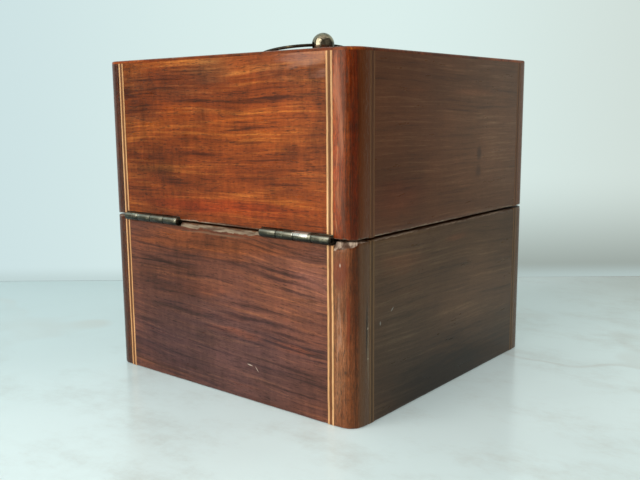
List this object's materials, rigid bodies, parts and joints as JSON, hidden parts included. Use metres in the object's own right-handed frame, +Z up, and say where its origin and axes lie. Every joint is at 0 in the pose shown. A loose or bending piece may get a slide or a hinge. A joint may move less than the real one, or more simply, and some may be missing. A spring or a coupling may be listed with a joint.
{
  "type": "puzzle box",
  "caption": "Hinged wooden cube box with rounded corner strips, string inlays, a lid that swings back, a ring pull in a ball post and a hidden turn catch.",
  "frame": {"origin": "centre of the flat underside", "axes": "+Z up, front towards -Y, hinges at the back towards +Y, +X to the right seen from the front"},
  "size_m": [0.1016, 0.1034, 0.111],
  "materials": {
    "carcass": "satin",
    "base_veneer": "french polish",
    "lid_veneer": "french polish",
    "base_corner_wood": "french polish",
    "lid_corner_wood": "french polish",
    "lining_wood": "satin",
    "boxwood": "french polish",
    "ebony": "french polish",
    "hinge_steel": "tarnished",
    "screw_brass": "satin",
    "dark_bronze": "aged dark bronze",
    "nut_brass": "satin",
    "catch_brass": "satin"
  },
  "bodies": {
    "base": {"base_front": "carcass", "base_back": "carcass", "base_left": "carcass", "base_right": "carcass", "base_bottom": "carcass", "base_front_veneer": "base_veneer", "base_back_veneer": "base_veneer", "base_left_veneer": "base_veneer", "base_right_veneer": "base_veneer", "base_front_left_corner": "base_corner_wood", "base_front_right_corner": "base_corner_wood", "base_back_left_corner": "base_corner_wood", "base_back_right_corner": "base_corner_wood", "base_light_strings": "boxwood", "base_dark_strings": "ebony", "front_lining": "lining_wood", "back_lining": "lining_wood", "left_lining": "lining_wood", "right_lining": "lining_wood", "left_hinge_base_leaf": "hinge_steel", "left_hinge_pin": "hinge_steel", "right_hinge_base_leaf": "hinge_steel", "right_hinge_pin": "hinge_steel", "base_hinge_screws": "screw_brass", "catch_bush": "catch_brass", "strike_plate": "catch_brass", "strike_screws": "screw_brass"},
    "lid": {"lid_front": "carcass", "lid_back": "carcass", "lid_left": "carcass", "lid_right": "carcass", "lid_top": "carcass", "lid_top_veneer": "lid_veneer", "lid_front_veneer": "lid_veneer", "lid_back_veneer": "lid_veneer", "lid_left_veneer": "lid_veneer", "lid_right_veneer": "lid_veneer", "lid_front_left_corner": "lid_corner_wood", "lid_front_right_corner": "lid_corner_wood", "lid_back_left_corner": "lid_corner_wood", "lid_back_right_corner": "lid_corner_wood", "lid_light_strings": "boxwood", "lid_dark_strings": "ebony", "left_hinge_lid_leaf": "hinge_steel", "right_hinge_lid_leaf": "hinge_steel", "lid_hinge_screws": "screw_brass", "ball_post": "dark_bronze", "post_washer": "nut_brass", "post_nut": "nut_brass", "keeper_plate": "catch_brass", "keeper_screws": "screw_brass"},
    "ring": {"pull_ring": "dark_bronze"},
    "catch": {"catch_rod": "catch_brass", "catch_tee": "catch_brass"}
  },
  "joints": [
    {"name": "lid_hinge", "type": "hinge", "parent": "base", "child": "lid", "pos_m": [0, 0.0513, 0.0517], "axis": [-1, 0, 0], "range_deg": [0, 170]},
    {"name": "ring_swing", "type": "hinge", "parent": "lid", "child": "ring", "pos_m": [0, 0, 0.1069], "axis": [-0.4226, -0.9063, 0], "range_deg": [0, 163.8]},
    {"name": "catch_turn", "type": "hinge", "parent": "base", "child": "catch", "pos_m": [0, -0.04535, 0.001], "axis": [0, 0, 1], "range_deg": [0, 90]}
  ]
}
